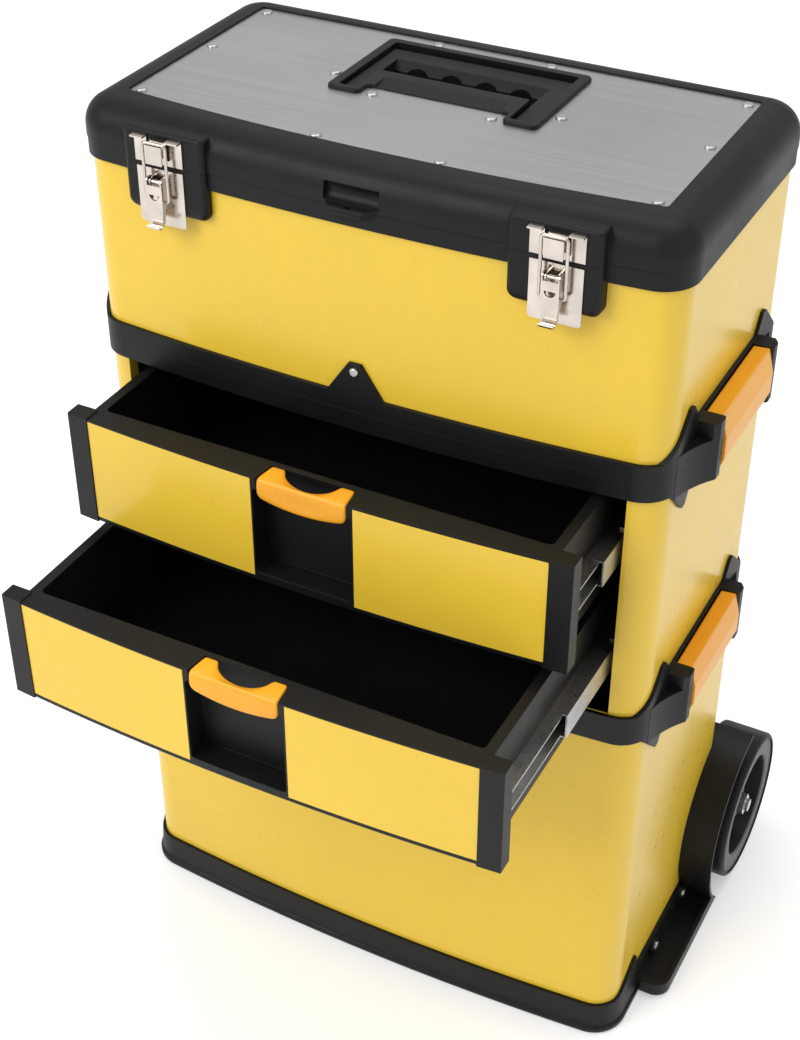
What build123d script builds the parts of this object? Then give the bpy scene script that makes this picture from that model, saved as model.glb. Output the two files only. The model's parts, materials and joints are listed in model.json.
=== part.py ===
from build123d import *
import os

# Modular rolling tool box, in millimetres. X runs to the right, Y from front to back and Z up.
# The origin lies on the floor, under the middle of the moulded base.

# Plan shape shared by the three modules
HALF_WIDTH = 231.4
FRONT_Y = -104.5
FRONT_BOW = 11.5
BACK_Y = 134.6
CORNER_R = 24.0
FRONT_FACE = FRONT_Y - FRONT_BOW

# Sheet metal, moulded walls and clearances
SHEET = 1.2
WALL = 3.0
RIM_OUT = 3.0
RIM_IN = -4.0
RIB = 3.0
FIT = 0.15
PIN_GAP = 0.1
RUN_GAP = 0.08
BEYOND = 25.0
SCREW_R = 2.0

# Heights of the modules
BIN_HEIGHT = 348.0
CABINET_HEIGHT = 228.0
BOX_HEIGHT = 159.7
LID_HEIGHT = 28.8
LOWER_SPLIT = BIN_HEIGHT
UPPER_SPLIT = LOWER_SPLIT + CABINET_HEIGHT
LID_SEAM = UPPER_SPLIT + BOX_HEIGHT
PLATE_TOP = LID_SEAM + LID_HEIGHT

# Moulded base of the bin
BASE_FLOOR = 8.0
BASE_TOP = 32.0
LIP_OUT = 6.5
FLOOR_TOP = BASE_FLOOR + WALL

# Rims between the modules
LOWER_RIM_DEPTH = 13.0
CABINET_RIM_DEPTH = 16.2
BOX_RIM_DEPTH = 12.8
FOOT_RIM_HEIGHT = 13.3
LOCATING_DEPTH = 6.0

# Side ears and the clamps between them
EAR_FRONT = -42.0
EAR_BACK = 61.0
EAR_OUT = 19.5
EAR_REACH = 47.0
EAR_DEPTH = 20.0
EAR_HEIGHT = 14.5
EAR_BLOCK_TOP = 27.0
MIDDLE_Y = (EAR_FRONT + EAR_BACK) / 2
UPPER_TAB = [(-60, 12), (-27, 42), (-21, 42), (-10, EAR_BLOCK_TOP)]
LOWER_TAB = [(-56, -11), (-28, -39), (-22, -39), (-9, -20), (-9, -11)]
LEDGE = (10.0, 16.4)
LEDGE_OUT = 6.0
CLAMP_GAP = 0.4
CLAMP_PIN_R = 2.0
CLAMP_PIN_OUT = 14.0
CLAMP_PIN_DROP = 15.0
CLAMP_PIN_REACH = 8.0
CLAMP_POCKETS = 4

# Wheels, axle and brackets
WHEEL_R = 70.0
WHEEL_WIDTH = 45.5
WHEEL_IN = HALF_WIDTH - 11.4
WHEEL_OUT = WHEEL_IN + WHEEL_WIDTH
AXLE_Y = BACK_Y + 11.4
AXLE_R = 6.0
AXLE_BOSS_R = AXLE_Y - BACK_Y - 0.4
TREAD = 4.5
RING_IN = 48.5
HUB_R = 17.0
HUB_RECESS = 10.0
HUB_OUT = WHEEL_OUT - HUB_RECESS
WEB_RECESS = 25.0
WEB_OUT = WHEEL_OUT - WEB_RECESS
WEB_THICK = 8.0
SPOKES = 6
NUT_R = 10.4
NUT_HEIGHT = 6.0
WELL_GAP = 23.0
WELL_R = WHEEL_R + WELL_GAP
WELL_X = WHEEL_IN - 10.0
FENDER_X = WHEEL_OUT - 4.0
PLATE_THICK = 4.0
LOBE = [(-28, 72), (-10, 62), (14, 22), (20, 0), (14, -22), (-10, -56), (-28, -64)]
FOOT_Y = (-50.0, 80.0)
FOOT_IN = HALF_WIDTH + 0.2
FOOT_TOP = 16.0
SCREW_SPOTS = [(57.0, 24.0), (-11.5, 21.5)]
LUG_R = 8.0

# Drawers and their slides
DRAWER_OPEN = {"upper": 83.0, "lower": 182.5}
DRAWER_CLEAR = 3.8
DRAWER_GAP = 10.0
OPENING_LOW = LOWER_SPLIT + FOOT_RIM_HEIGHT
OPENING_HIGH = UPPER_SPLIT - CABINET_RIM_DEPTH
FLANGE_DROP = 1.0
DRAWER_HEIGHT = (OPENING_HIGH - OPENING_LOW - DRAWER_CLEAR - DRAWER_GAP - FLANGE_DROP - 0.4) / 2
UPPER_TOP = OPENING_HIGH - DRAWER_CLEAR
DRAWER_TOPS = {"upper": UPPER_TOP, "lower": UPPER_TOP - DRAWER_HEIGHT - DRAWER_GAP}
FRONT_HALF = HALF_WIDTH - 27.9
OPENING_HALF = FRONT_HALF + 3.0
FLANGE_IN = FRONT_HALF - 17.8
FRONT_BACK_Y = FRONT_Y + 10.0
BAND_DROP = 1.0
PANEL_UPPER_MARGIN = 1.6
PANEL_LOWER_MARGIN = 3.5
PANEL_T = 1.0
PULL_HALF = 40.0
PULL_BACK_HALF = 34.0
PULL_DEEP = 21.0
PULL_ENDS = 16.0
WEB_Y = FRONT_BACK_Y - 2.0
TRAY_HALF = HALF_WIDTH - 42.4
TRAY_BACK = BACK_Y - 14.6
TRAY_LIP = 5.0
RAIL_FRONT = FRONT_Y + 12.5
RAIL_LENGTH = 205.0
RAIL_SHEET = 1.2
CARRIER_X = TRAY_HALF + 19.2
CARRIER_THICK = 3.2

# Lid, its plate and rivets
LID_GROW = 3.5
LID_ROUND = 22.0
LID_LOW = LID_SEAM + 0.2
LID_TOP = PLATE_TOP + 1.5
LID_CEILING = PLATE_TOP - 4.5
TOP_SHEET = 1.2
PLATE_HALF = 206.0
PLATE_FRONT = -77.0
PLATE_BOW = 11.5
PLATE_BACK = 111.0
RIVET_SPOTS = [(197.5, -71.5), (47.5, -82), (198, 23.5), (197.7, 103), (46.5, 103), (90, 21.6), (47, -2)]
RIVET_R = 4.25
RIVET_SHANK = 2.0

# Lid hinge
HINGE_Y = BACK_Y + 7.0
HINGE_Z = LID_SEAM - 1.0
HINGE_X = 140.0
KNUCKLE_R = 4.5
KNUCKLE_HALF = 10.0
KNUCKLE_END = 22.0
KNUCKLE_GAP = 0.3
HINGE_PIN_R = 2.0

# Finger shelf at the middle of the seam
SHELF_HALF = 22.0
SHELF_OUT = 11.0
SHELF_THICK = 3.0
SHELF_EYE_R = 2.5
SCOOP_R = 7.0
SCOOP_HALF = 21.0

# Front latches, with places measured from the lid seam and the latch pad
LATCH_X = 151.0
PAD_X = (LATCH_X - 36.0, LATCH_X + 30.5)
PAD_Y = FRONT_FACE - 5.2
PAD_DROP = 38.7
LATCH_SHEET = 1.2
STRIKE_HALF = 19.5
STRIKE_LOW = LID_SEAM + 1.7
STRIKE_TOP = LID_SEAM + 21.9
TONGUE_HALF = 6.9
TONGUE_OUT = 7.8
TONGUE_SLOT = 2.4
BASE_PLATE_HALF = 19.0
BASE_PLATE_Z = (LID_SEAM - 44.7, LID_SEAM - 2.2)
LEVER_PIN = (PAD_Y - 6.3, LID_SEAM - 9.5)
LATCH_PIN_R = 1.5
LEVER_HALF = 6.5
LEVER_TIP_HALF = 5.0
LEVER_SIDE = 1.1
LEVER_FACE = PAD_Y - 10.3
LEVER_END = LID_SEAM - 40.2
LATCH_EAR_GAP = 0.5
CURL_R = 3.1
BAIL_DROP = 14.8
BAIL_TOP_Z = LID_SEAM + 18.9
BAIL_HALF = 9.3
WIRE_R = 1.2

# Tab at the middle of the box front
TAB_TOP = UPPER_SPLIT + 39.5
TAB_HALF = 24.0
TAB_SCREW_Z = TAB_TOP - 6.5

# Carry handle and its well in the lid
TUB_HALF = 75.0
TUB_BACK = 89.0
TUB_FRONT = -1.0
TUB_ARM_IN = 60.0
TUB_LEDGE = 35.0
TUB_WALL = 2.5
TUB_FLOOR = PLATE_TOP - 24.0
ARM_FLOOR = PLATE_TOP - 12.0
BEZEL_OUT = 8.0
BEZEL_HIGH = 3.0
BEZEL_STEP_Y = 9.0
HANDLE_PIVOT = (5.1, PLATE_TOP - 5.0)
HANDLE_PIN_R = 2.0
ARM_X = (62.0, 73.0)
ARM_HALF = 5.0
GRIP_BACK = TUB_BACK - 4.2
GRIP_SECTION = [(0, 0), (-19, 0), (-25, -6), (-26, -14), (-21, -20), (-13, -22.5), (-5, -22.5), (0, -17)]
FINGER_STEP = 28.0
FINGER_R = 13.0
FINGER_DEPTH = 4.0

# Pull handle at the back
LEG_X = 100.0
OUTER_TUBE_R = 11.0
TUBE_WALL = 1.2
INNER_TUBE_R = 9.0
GRIP_R = 12.0
GRIP_HALF = 58.0
GRIP_GAP = 1.4
TUBE_Y = HINGE_Y + KNUCKLE_R + GRIP_R + GRIP_GAP
TUBE_BOTTOM = 90.0
TUBE_TOP = UPPER_SPLIT - 24.0
PULL_TOP = LID_SEAM - 35.7
PULL_BEND = 30.0
SADDLE_HEIGHT = 26.0
SADDLE_Z = (TUBE_BOTTOM, LOWER_SPLIT - 48.0)
BUSH_R = 14.0
BUSH_HEIGHT = 12.0
BUSH_DEPTH = 20.0


# Shapes used throughout
def plan(grow):
    """The body's plan outline: flat back and sides, bowed front, round corners."""
    half = HALF_WIDTH + grow
    front = FRONT_Y - grow
    back = BACK_Y + grow
    bow = ThreePointArc((-half, front), (0, front - FRONT_BOW), (half, front))
    rest = Polyline((half, front), (half, back), (-half, back), (-half, front))
    outline = make_face([bow, rest])
    return fillet(outline.vertices(), CORNER_R + grow)


def slab(grow, low, high):
    return extrude(Pos(0, 0, low) * plan(grow), high - low, dir=(0, 0, 1))


def ring(outer, inner, low, high):
    return slab(outer, low, high) - slab(inner, low, high)


def block(x0, x1, y0, y1, z0, z1):
    return Pos(x0, y0, z0) * Box(x1 - x0, y1 - y0, z1 - z0, align=(Align.MIN, Align.MIN, Align.MIN))


def rod_x(radius, x0, x1, y, z):
    bar = Cylinder(radius, x1 - x0, align=(Align.CENTER, Align.CENTER, Align.MIN))
    return Pos(x0, y, z) * Rot(0, 90, 0) * bar


def rod_y(radius, y0, y1, x, z):
    bar = Cylinder(radius, y1 - y0, align=(Align.CENTER, Align.CENTER, Align.MIN))
    return Pos(x, y0, z) * Rot(-90, 0, 0) * bar


def rod_z(radius, z0, z1, x, y):
    bar = Cylinder(radius, z1 - z0, align=(Align.CENTER, Align.CENTER, Align.MIN))
    return Pos(x, y, z0) * bar


def prism_x(points, low, high, radius=0.0):
    """A (y, z) outline drawn out along X."""
    face = make_face(Polyline(*points, close=True))
    if radius:
        face = fillet(face.vertices(), radius)
    return extrude(Plane.YZ.offset(low) * face, high - low, dir=(1, 0, 0))


def prism_y(points, low, high):
    """An (x, z) outline drawn out along Y."""
    face = make_face(Polyline(*points, close=True))
    return extrude(Plane.XZ.offset(-low) * face, high - low, dir=(0, 1, 0))


def prism_z(points, low, high, radius=0.0):
    """An (x, y) outline drawn out along Z."""
    face = make_face(Polyline(*points, close=True))
    if radius:
        face = fillet(face.vertices(), radius)
    return extrude(Pos(0, 0, low) * face, high - low, dir=(0, 0, 1))


def left(part):
    return mirror(part, about=Plane.YZ)


def pair(part):
    return part + left(part)


def front_and_back(part):
    """A side feature in front of the clamp with its copy behind the clamp."""
    return part + mirror(part, about=Plane.XZ.offset(-MIDDLE_Y))


# Rims between the modules
def ear(low, high, reach):
    """Flared ear beside the front end of a right clamp, with its curved run out of the wall."""
    start, tip, outer = EAR_FRONT - EAR_REACH, EAR_FRONT - 10, HALF_WIDTH + EAR_OUT
    inner, root = HALF_WIDTH - WALL, HALF_WIDTH + 2.5
    flare = ThreePointArc((root, start), (HALF_WIDTH + 8.5, EAR_FRONT - 28), (outer, tip))
    rest = Polyline((outer, tip), (outer, EAR_FRONT), (inner, EAR_FRONT), (inner, start), (root, start))
    face = make_face([flare, rest])
    corners = face.vertices().filter_by_position(Axis.X, outer - 1, outer + 1)
    solid = extrude(Pos(0, 0, low) * fillet(corners, 2.5), high - low, dir=(0, 0, 1))
    return solid & block(inner - 1, outer + 1, EAR_FRONT - reach, EAR_FRONT, low, high)


def side_ears(low, high, split, reach=EAR_REACH):
    """Both ears at one side of a junction, cut clear of the sheet."""
    both = front_and_back(ear(split + low, split + high, reach))
    return both - slab(FIT, split + low, split + high)


def tab_prism(points, start, split):
    lifted = [(start + y, split + z) for y, z in points]
    return prism_x(lifted, HALF_WIDTH - 2 * CORNER_R, HALF_WIDTH + BEYOND)


def against_wall(prism):
    """Flat tab that lies against the sheet at the side of a rim."""
    box = prism.bounding_box()
    return ring(RIM_OUT, FIT, box.min.Z, box.max.Z) & prism


def clamp_pin(split, radius):
    y0, y1 = EAR_FRONT - CLAMP_PIN_REACH, EAR_BACK + CLAMP_PIN_REACH
    return rod_y(radius, y0, y1, HALF_WIDTH + CLAMP_PIN_OUT, split - CLAMP_PIN_DROP)


def clamp_pins():
    return pair(clamp_pin(LOWER_SPLIT, CLAMP_PIN_R)) + pair(clamp_pin(UPPER_SPLIT, CLAMP_PIN_R))


def top_rim(split, depth):
    """Moulded rim that closes the top of a module and carries the clamp pins."""
    rim = ring(RIM_OUT, FIT, split - depth, split)
    rim += ring(-SHEET - FIT, RIM_IN, split - depth, split - WALL)
    rim += ring(RIM_OUT, RIM_IN, split - WALL, split)
    tabs = against_wall(front_and_back(tab_prism(LOWER_TAB, EAR_FRONT, split)))
    rim += pair(side_ears(-EAR_DEPTH, 0, split) + tabs)
    return rim - pair(clamp_pin(split, CLAMP_PIN_R))


def foot_rim(split):
    """Moulded base of a module: floor, sheet groove, locating lip, ears and catch ledges."""
    rim = ring(RIM_OUT, FIT, split, split + FOOT_RIM_HEIGHT)
    rim += slab(RIM_OUT, split, split + WALL)
    rim += ring(-SHEET - FIT, RIM_IN, split, split + FOOT_RIM_HEIGHT - WALL)
    rim += ring(RIM_IN - 0.5, RIM_IN - WALL, split - LOCATING_DEPTH, split)
    sides = side_ears(0, EAR_HEIGHT, split)
    sides += side_ears(0, EAR_BLOCK_TOP, split, 15)
    middle = [(MIDDLE_Y - EAR_FRONT, z) for z in (EAR_BLOCK_TOP, UPPER_TAB[0][1])]
    sides += against_wall(front_and_back(tab_prism(UPPER_TAB + middle, EAR_FRONT, split)))
    sides += block(
        HALF_WIDTH + FIT, HALF_WIDTH + LEDGE_OUT, EAR_FRONT, EAR_BACK, split + LEDGE[0], split + LEDGE[1]
    )
    return rim + pair(sides)


def clamp(split):
    """Right side clamp: hinge barrel below, hook above, ribbed pockets on its inner face."""
    face, waist = 21.0, 17.0
    profile = [
        (LEDGE_OUT + 3, -20),
        (waist, -20),
        (face, -9),
        (face, 8),
        (waist - 0.5, 26.5),
        (LEDGE_OUT - 2, 25.5),
        (LEDGE_OUT - 2, LEDGE[1] + 1.6),
        (LEDGE_OUT + 0.5, LEDGE[1] + 0.6),
        (LEDGE_OUT + 0.5, -15),
    ]
    placed = [(HALF_WIDTH + x, split + z) for x, z in profile]
    body = prism_y(placed, EAR_FRONT + CLAMP_GAP, EAR_BACK - CLAMP_GAP)
    body = fillet(body.edges().filter_by(Axis.Y), 1.0)
    pitch = (EAR_BACK - EAR_FRONT) / CLAMP_POCKETS
    for index in range(CLAMP_POCKETS):
        start = EAR_FRONT + index * pitch
        deep = HALF_WIDTH + waist + 0.5
        body -= block(HALF_WIDTH, deep, start + RIB, start + pitch - RIB, split - 7, split + 14)
    return body - clamp_pin(split, CLAMP_PIN_R + PIN_GAP)


# Bottom bin
def wheel_wells(radius):
    return pair(rod_x(radius, WELL_X, WHEEL_OUT + BEYOND, AXLE_Y, WHEEL_R))


def bin_base():
    """Flared moulded base with ribs below, a sheet groove, side ramps and wheel wells."""
    lip = slab(LIP_OUT, 0, BASE_FLOOR)
    lip_faces = lip.faces().sort_by(Axis.Z)
    lip = fillet(lip_faces[0].edges() + lip_faces[-1].edges(), WALL)
    skirt = loft([Pos(0, 0, BASE_FLOOR / 2) * plan(LIP_OUT - 1.5), Pos(0, 0, BASE_TOP) * plan(RIM_OUT)])
    base = lip + skirt - slab(-WALL, -1, BASE_FLOOR)
    base -= slab(FIT, FLOOR_TOP, BASE_TOP + 1)
    base += ring(-SHEET - FIT, RIM_IN, FLOOR_TOP, BASE_TOP - 4)
    for x in range(-150, 151, 75):
        base += block(x - RIB / 2, x + RIB / 2, FRONT_Y + 1, BACK_Y - 2, 0, BASE_FLOOR + 1)
    for y in range(-60, 61, 60):
        base += block(2 - HALF_WIDTH, HALF_WIDTH - 2, y - RIB / 2, y + RIB / 2, 0, BASE_FLOOR + 1)
    ramp = [(-46, -2), (-8, 18), (-4, 18), (-2, -2)]
    base += pair(against_wall(tab_prism(ramp, FOOT_Y[0], BASE_TOP)))
    front, back = FOOT_Y[0] - 1.5, FOOT_Y[1] + 8
    base -= pair(block(FOOT_IN, HALF_WIDTH + BEYOND, front, back, -1, FOOT_TOP + 1))
    base -= pair(block(HALF_WIDTH + RIM_OUT, HALF_WIDTH + BEYOND, front, back, -1, BASE_TOP + 1))
    base -= wheel_wells(WELL_R + FIT)
    for y, z in SCREW_SPOTS:
        base -= pair(rod_x(SCREW_R, HALF_WIDTH - 1, HALF_WIDTH + RIM_OUT + 1, y, z))
    return base


def bin_wrap():
    return ring(0, -SHEET, FLOOR_TOP, LOWER_SPLIT - WALL) - wheel_wells(WELL_R + FIT)


def in_front_of(y):
    return block(-2 * HALF_WIDTH, 2 * HALF_WIDTH, 2 * FRONT_Y, y, 0, LOWER_SPLIT)


def bin_front_sheet():
    return bin_wrap() & in_front_of(0)


def bin_rear_sheet():
    """Back wrap with the joggled hem that slips behind the front sheet at mid side."""
    hem = ring(-SHEET, -2 * SHEET, BASE_TOP, LOWER_SPLIT - LOWER_RIM_DEPTH - 1)
    hem = (hem & in_front_of(8)) - in_front_of(-14)
    return bin_wrap() - in_front_of(0) + hem


def wheel_bracket():
    """Right bracket: axle plate, fender over the wheel and the foot along the side."""
    fender = rod_x(WELL_R, WELL_X, FENDER_X, AXLE_Y, WHEEL_R)
    fender -= rod_x(WELL_R - WALL, WELL_X - 1, FENDER_X + 1, AXLE_Y, WHEEL_R)
    fender &= block(WELL_X, FENDER_X, 0, BACK_Y + 5, WALL, WHEEL_R + WELL_R)
    plate_out = WELL_X + PLATE_THICK
    plate = rod_x(WELL_R, WELL_X, plate_out, AXLE_Y, WHEEL_R)
    plate &= block(WELL_X, plate_out, 0, BACK_Y, WALL, WHEEL_R + WELL_R)
    plate += prism_x([(AXLE_Y + y, WHEEL_R + z) for y, z in LOBE], WELL_X, plate_out, 5)
    boss = rod_x(AXLE_BOSS_R, WELL_X - 8, plate_out, AXLE_Y, WHEEL_R)
    foot = block(FOOT_IN, FENDER_X, *FOOT_Y, WALL, FOOT_TOP)
    outer_corner = foot.edges().filter_by(Axis.Z).sort_by(Axis.Y)[:2].sort_by(Axis.X)[-1]
    foot = fillet(outer_corner, 14)
    foot -= block(FOOT_IN + 4, FENDER_X - 4, FOOT_Y[0] + 8, FOOT_Y[1] - 20, FOOT_TOP - 6, FOOT_TOP + 1)
    foot -= rod_x(WELL_R - WALL, FOOT_IN - 1, FENDER_X + 1, AXLE_Y, WHEEL_R)
    bracket = fender + plate + boss + foot
    lug_in, lug_out = HALF_WIDTH + RIM_OUT, HALF_WIDTH + 2 * RIM_OUT
    for y, z in SCREW_SPOTS:
        bracket += block(lug_in, lug_out, y - LUG_R, y + LUG_R, FOOT_TOP - 1, z)
        bracket += rod_x(LUG_R, lug_in, lug_out, y, z)
        bracket -= rod_x(SCREW_R, HALF_WIDTH, lug_out + 1, y, z)
    return bracket - rod_x(AXLE_R, WELL_X - BEYOND, WHEEL_OUT, AXLE_Y, WHEEL_R)


def bracket_screws():
    """Dome headed screws that hold the bracket feet to the base."""
    screws = []
    head_x = HALF_WIDTH + 2 * RIM_OUT
    for y, z in SCREW_SPOTS:
        shank = rod_x(SCREW_R, HALF_WIDTH + FIT, head_x, y, z)
        dome = rod_x(4.5, head_x, head_x + 2, y, z)
        dome = fillet(dome.faces().sort_by(Axis.X)[-1].edges(), 1.2)
        screws.append(pair(shank + dome))
    return screws[0] + screws[1]


def axle():
    return rod_x(AXLE_R, -WHEEL_OUT, WHEEL_OUT, AXLE_Y, WHEEL_R)


def axle_nuts():
    """Hexagon nuts on the axle ends, inside the hub recess."""
    start = HUB_OUT + 0.6
    flat = extrude(Plane.YZ.offset(start) * RegularPolygon(NUT_R, 6), NUT_HEIGHT, dir=(1, 0, 0))
    hole = rod_x(AXLE_R, start - 1, start + NUT_HEIGHT + 1, AXLE_Y, WHEEL_R)
    return pair(Pos(0, AXLE_Y, WHEEL_R) * flat - hole)


# Wheels
def wheel():
    """Right wheel disc: hub, web with ribs and the broad ring that carries the tyre."""
    seat, bore, edge = WHEEL_R - TREAD, AXLE_R + RUN_GAP, 1.5
    inner, web_in = WHEEL_IN + 2, WEB_OUT - WEB_THICK
    turned = Polyline(
        (bore, inner),
        (HUB_R, inner),
        (HUB_R, web_in),
        (RING_IN - 1, web_in - 2),
        (RING_IN - 1, inner),
        (seat, inner),
        (seat, WHEEL_OUT - edge),
        (RING_IN + edge, WHEEL_OUT - edge),
        (RING_IN, WHEEL_OUT - 2 * edge),
        (RING_IN - 4, WEB_OUT),
        (HUB_R + 3, WEB_OUT - 2),
        (HUB_R - 2, HUB_OUT),
        (bore, HUB_OUT),
        close=True,
    )
    section = Plane.XZ * make_face(turned)
    disc = Pos(0, AXLE_Y, WHEEL_R) * Rot(0, 90, 0) * revolve(section, Axis.Z)
    rib = block(WEB_OUT - 6, WEB_OUT + 9, AXLE_Y - 2, AXLE_Y + 2, WHEEL_R + HUB_R - 2, WHEEL_R + RING_IN - 2)
    about = Axis((0, AXLE_Y, WHEEL_R), (1, 0, 0))
    for index in range(SPOKES):
        disc += rib.rotate(about, index * 360 / SPOKES + 15)
    return disc


def tyre():
    """Soft tread pressed over the wheel, with round shoulders."""
    band = rod_x(WHEEL_R, WHEEL_IN, WHEEL_OUT, AXLE_Y, WHEEL_R)
    band = fillet(band.edges().filter_by(GeomType.CIRCLE), TREAD - 0.5)
    return band - rod_x(WHEEL_R - TREAD, WHEEL_IN - 1, WHEEL_OUT + 1, AXLE_Y, WHEEL_R)


# Drawer cabinet
def cabinet_shell():
    """Folded sheet with the drawer opening and its returned edges."""
    shell = ring(0, -SHEET, LOWER_SPLIT + WALL, UPPER_SPLIT - WALL)
    ahead = FRONT_FACE - BEYOND
    shell -= block(-OPENING_HALF, OPENING_HALF, ahead, FRONT_Y + 2 * CORNER_R, OPENING_LOW, OPENING_HIGH)
    stile = block(OPENING_HALF, OPENING_HALF + SHEET, ahead, RAIL_FRONT - 4, OPENING_LOW, OPENING_HIGH)
    return shell + pair(stile & slab(-SHEET / 2, OPENING_LOW, OPENING_HIGH))


def slide_carriers():
    """Ribbed side plates inside the cabinet that hold the fixed slide rails."""
    low = LOWER_SPLIT + WALL
    high = UPPER_SPLIT - LOCATING_DEPTH - 0.5
    outer = CARRIER_X + CARRIER_THICK
    carrier = block(CARRIER_X, outer, RAIL_FRONT + 2, RAIL_FRONT + RAIL_LENGTH, low, high)
    for y in (RAIL_FRONT + 16, RAIL_FRONT + RAIL_LENGTH / 2, RAIL_FRONT + RAIL_LENGTH - 20):
        carrier += block(outer, HALF_WIDTH + RIM_IN, y, y + RIB, low, high)
    return pair(carrier)


def channel(back_x, lip_x, half, front, centre):
    """A rail of thin sheet with its web at back_x and its flanges turned towards lip_x."""
    low, high = sorted((back_x, lip_x))
    web_low = back_x if lip_x > back_x else back_x - RAIL_SHEET
    back = front + RAIL_LENGTH
    outer = block(low, high, front, back, centre - half, centre + half)
    hollow = half - RAIL_SHEET
    outer -= block(low - 1, high + 1, front - 1, back + 1, centre - hollow, centre + hollow)
    return outer + block(web_low, web_low + RAIL_SHEET, front, back, centre - half, centre + half)


def rail_centre(name):
    return DRAWER_TOPS[name] - DRAWER_HEIGHT / 2


def cabinet_rails():
    rails = [channel(CARRIER_X, TRAY_HALF + 9, 12.5, RAIL_FRONT, rail_centre(name)) for name in DRAWER_TOPS]
    return pair(rails[0]) + pair(rails[1])


def middle_rails(name):
    front = RAIL_FRONT - DRAWER_OPEN[name] / 2
    return pair(channel(TRAY_HALF + 14.2, TRAY_HALF + 4.5, 10.9, front, rail_centre(name)))


def drawer_rails(name):
    front = RAIL_FRONT - DRAWER_OPEN[name]
    return pair(channel(TRAY_HALF, TRAY_HALF + 10.5, 9.3, front, rail_centre(name)))


# Drawers
def drawn(name, part):
    """Moves a piece of a closed drawer to where the photograph has it open."""
    return Pos(0, -DRAWER_OPEN[name], 0) * part


def drawer_tray(name):
    """Open tray with a flange turned in along its upper edge."""
    top = DRAWER_TOPS[name] - BAND_DROP
    bottom = DRAWER_TOPS[name] - DRAWER_HEIGHT + 1.5
    tray = block(-TRAY_HALF, TRAY_HALF, FRONT_BACK_Y, TRAY_BACK, bottom, top)
    tray = fillet(tray.edges().filter_by(Axis.Z).sort_by(Axis.Y)[-2:], 6)
    half, front, back = TRAY_HALF - WALL, FRONT_BACK_Y + WALL, TRAY_BACK - WALL
    room = block(-half, half, front, back, bottom + WALL, top - WALL)
    mouth = block(TRAY_LIP - half, half - TRAY_LIP, front, back - TRAY_LIP, top - WALL - 1, top + 1)
    for cut in (room, mouth):
        tray -= fillet(cut.edges().filter_by(Axis.Z), 4)
    return drawn(name, tray)


def pull_plan(grow, low, high):
    """Trapezoid between the panels, narrower at the back, where the pull sits."""
    front_half, back_half = PULL_HALF + grow, PULL_BACK_HALF + grow
    ahead = FRONT_FACE - BEYOND
    points = [(-front_half, ahead), (front_half, ahead), (back_half, WEB_Y), (-back_half, WEB_Y)]
    return prism_z(points, low, high)


def panel_window(grow, low, high):
    """Room for the right panel, between the end flange and the pull."""
    x0, x1 = PULL_HALF + 1.4 - grow, FLANGE_IN + grow
    z0, z1 = low + PANEL_LOWER_MARGIN - grow, high - PANEL_UPPER_MARGIN + grow
    return block(x0, x1, FRONT_FACE - BEYOND, FRONT_BACK_Y, z0, z1)


def drawer_front(name):
    """Black front frame: end flanges, hollow halves behind the panels and the hand pocket."""
    high = DRAWER_TOPS[name]
    low = high - DRAWER_HEIGHT
    band_top = high - BAND_DROP
    ahead = FRONT_FACE - BEYOND
    frame = slab(0, low, band_top) & block(-FLANGE_IN, FLANGE_IN, ahead, FRONT_BACK_Y, low, band_top)
    flange_low = low - FLANGE_DROP
    flange = slab(0.8, flange_low, high)
    frame += pair(flange & block(FLANGE_IN, FRONT_HALF, ahead, FRONT_BACK_Y, flange_low, high))
    frame -= pair(panel_window(FIT, low, band_top) & ring(1, -PANEL_T, low, high))
    hollow = slab(-PANEL_T - 2, low + 4, band_top - 4)
    frame -= pair(hollow & block(PULL_HALF + 5, FLANGE_IN - 2, ahead, FRONT_BACK_Y, low, high))
    pocket = block(-PULL_HALF, PULL_HALF, ahead, WEB_Y, low + 7, band_top - 10)
    frame -= fillet(pocket.edges().filter_by(Axis.Y), 3)
    frame -= pull_plan(FIT, band_top - PULL_DEEP - 4, band_top + 1)
    return drawn(name, frame)


def drawer_panels(name):
    """Painted skins let into the front frame, flush with its face."""
    high = DRAWER_TOPS[name] - BAND_DROP
    low = DRAWER_TOPS[name] - DRAWER_HEIGHT
    return drawn(name, pair(ring(0, -PANEL_T, low, high) & panel_window(0, low, high)))


def drawer_pull(name):
    """Orange grip: bowed lower edge, finger scoop behind its lip and a round notch at the back."""
    top = DRAWER_TOPS[name] - BAND_DROP
    low = top - PULL_DEEP
    body = pull_plan(0, low, top) & slab(1.2, low, top)
    ends, reach = top - PULL_ENDS, PULL_HALF + 10
    below = make_face([
        Polyline((-reach, ends), (-reach, low - 5), (reach, low - 5), (reach, ends)),
        ThreePointArc((reach, ends), (0, low), (-reach, ends)),
    ])
    body -= extrude(Plane.XZ.offset(-FRONT_FACE + BEYOND) * below, 2 * BEYOND, dir=(0, 1, 0))
    scoop_half = PULL_HALF - 9
    scoop = block(-scoop_half, scoop_half, FRONT_FACE - BEYOND, WEB_Y - 2, low - 1, top - 4)
    body -= slab(-3.5, low - 1, top - 4) & scoop
    notch = Pos(0, WEB_Y, low - 1) * Ellipse(21, 8)
    body -= extrude(notch, PULL_DEEP + 2, dir=(0, 0, 1))
    upper_edge = body.faces().sort_by(Axis.Z)[-1].edges().sort_by(Axis.Y)[:1]
    return drawn(name, fillet(upper_edge, 1.5))


# Top box
def tab_screw_hole():
    return rod_y(SCREW_R, FRONT_FACE - BEYOND, FRONT_FACE + 2 * WALL, 0, TAB_SCREW_Z)


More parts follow.
